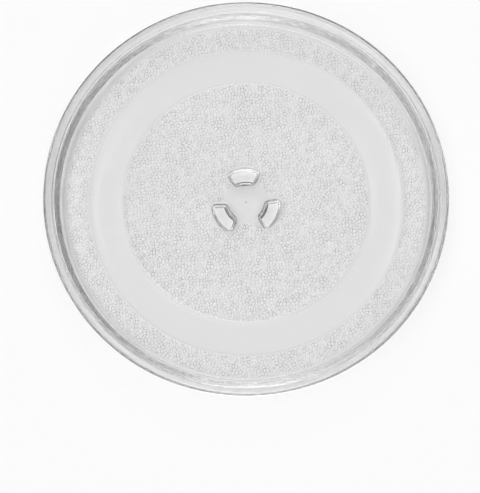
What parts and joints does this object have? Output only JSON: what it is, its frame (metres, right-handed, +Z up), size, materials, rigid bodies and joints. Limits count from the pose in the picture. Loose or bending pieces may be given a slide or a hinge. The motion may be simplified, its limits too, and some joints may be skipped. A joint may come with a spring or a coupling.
{
  "type": "microwave turntable plate",
  "caption": "Round clear glass turntable plate with a shallow wall and a flat lip, a smooth roller track under its floor and drive lugs round the centre of its underside.",
  "frame": {"origin": "on the axis of turning, in the plane of the feet of the drive lugs", "axes": "+Z up along the axis of turning, out of the dish; +Y through the middle of one drive lug"},
  "size_m": [0.245, 0.245, 0.019],
  "materials": {
    "clear_glass": "polished above, fine pressed stipple below"
  },
  "bodies": {
    "root": {"glass_plate": "clear_glass"}
  },
  "joints": []
}
